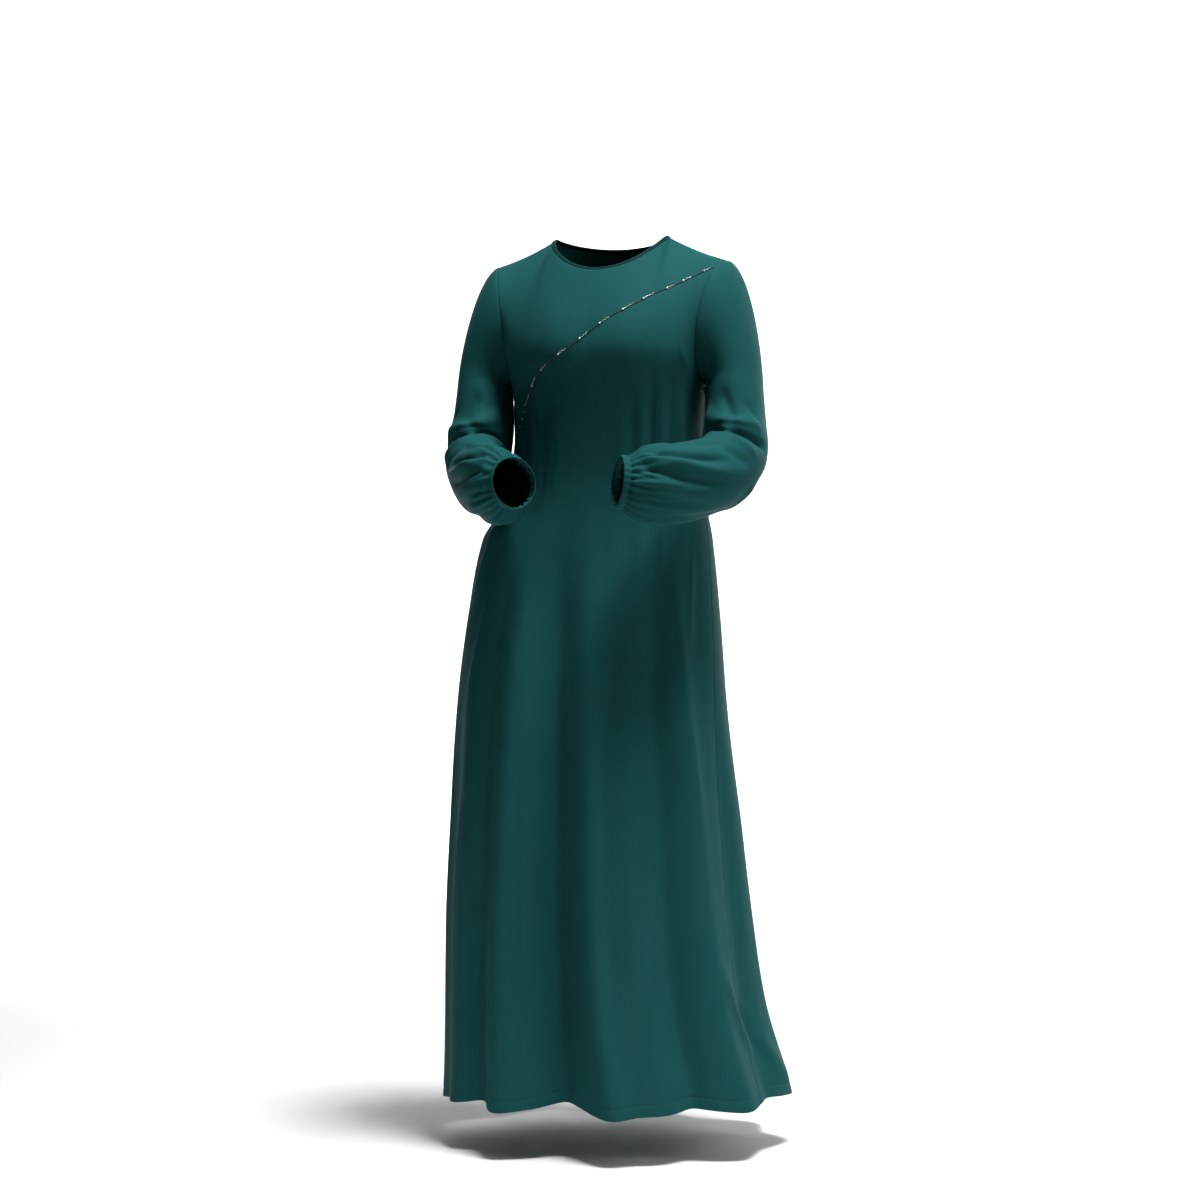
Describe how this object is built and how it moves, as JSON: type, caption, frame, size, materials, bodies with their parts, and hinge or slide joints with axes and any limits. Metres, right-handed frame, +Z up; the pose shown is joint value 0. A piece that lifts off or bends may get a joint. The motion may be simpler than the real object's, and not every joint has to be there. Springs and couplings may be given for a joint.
{
  "type": "abaya",
  "caption": "Long-sleeved, ankle-length A-line dress with a round bound neck, a curved diagonal beaded seam and full gathered sleeves, shown as worn.",
  "frame": {"origin": "centre of the neck base, where the wearer's shoulders carry the garment", "axes": "+Z up, +X to the wearer's left, the front faces -Y"},
  "size_m": [0.5648, 0.5018, 1.3838],
  "materials": {
    "knit": "smooth heavy knit with a soft sheen",
    "binding": "smooth knit strip",
    "beaded_cord": "thin cord with fine silver beading"
  },
  "bodies": {
    "root": {"front_yoke": "knit", "front_skirt": "knit", "back_panel": "knit", "sleeve_left": "knit", "sleeve_right": "knit", "cuff_left": "knit", "cuff_right": "knit", "neck_binding": "binding", "seam_trim": "beaded_cord"}
  },
  "joints": []
}
